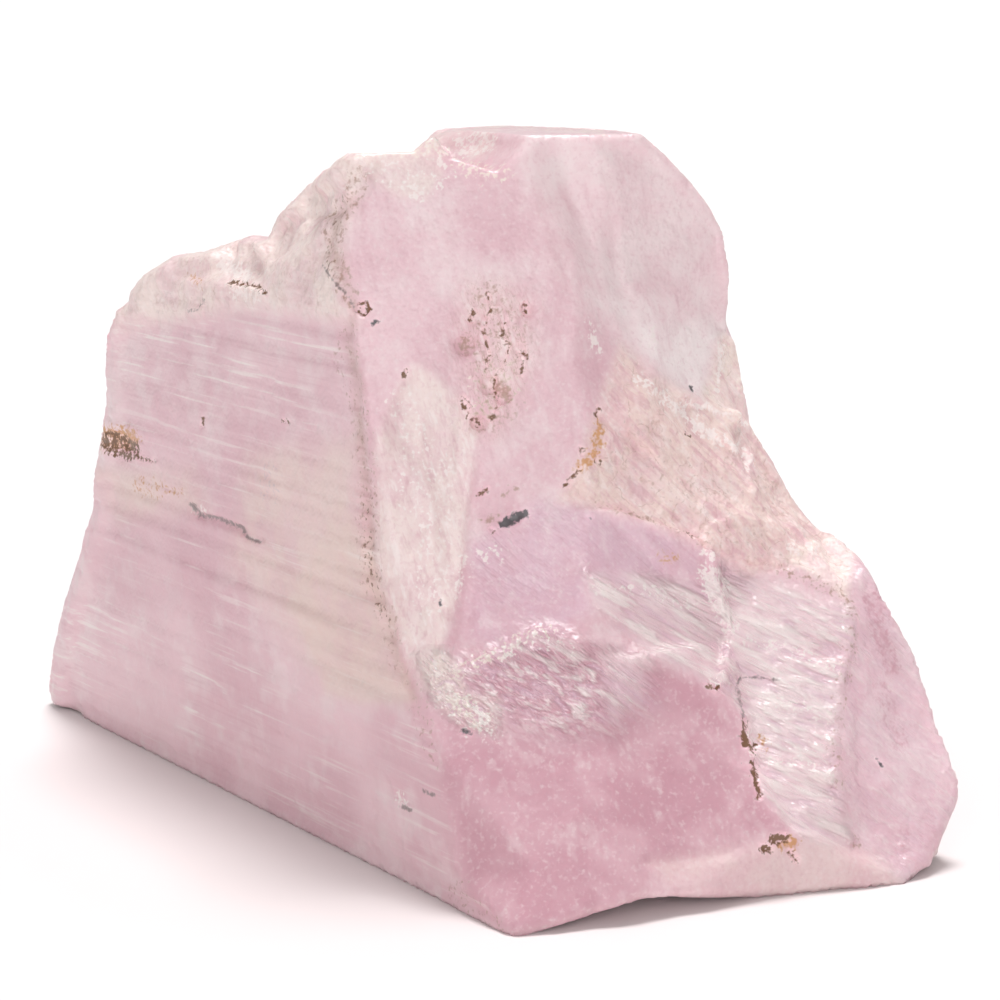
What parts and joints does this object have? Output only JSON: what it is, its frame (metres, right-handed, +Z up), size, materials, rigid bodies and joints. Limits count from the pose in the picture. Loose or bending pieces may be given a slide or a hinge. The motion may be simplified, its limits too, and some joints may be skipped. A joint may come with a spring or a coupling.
{
  "type": "kunzite crystal",
  "caption": "Rough pink kunzite crystal: a broken length of striated prism with silky cleavage, shell-shaped breaks and a flat underside to rest on.",
  "frame": {"origin": "middle of the crystal's bounding box at its underside, on the surface it rests on", "axes": "+Z up; +X towards the low broken right end; -Y towards the side with the near ridge; the crystal's long axis lies flat, 123.5 degrees from +X"},
  "size_m": [0.038, 0.0342, 0.0271],
  "materials": {
    "crystal": "translucent milky pink mineral, silky on cleaved and striated faces, matt and beige on rough breaks"
  },
  "bodies": {
    "root": {"kunzite_crystal": "crystal"}
  },
  "joints": []
}
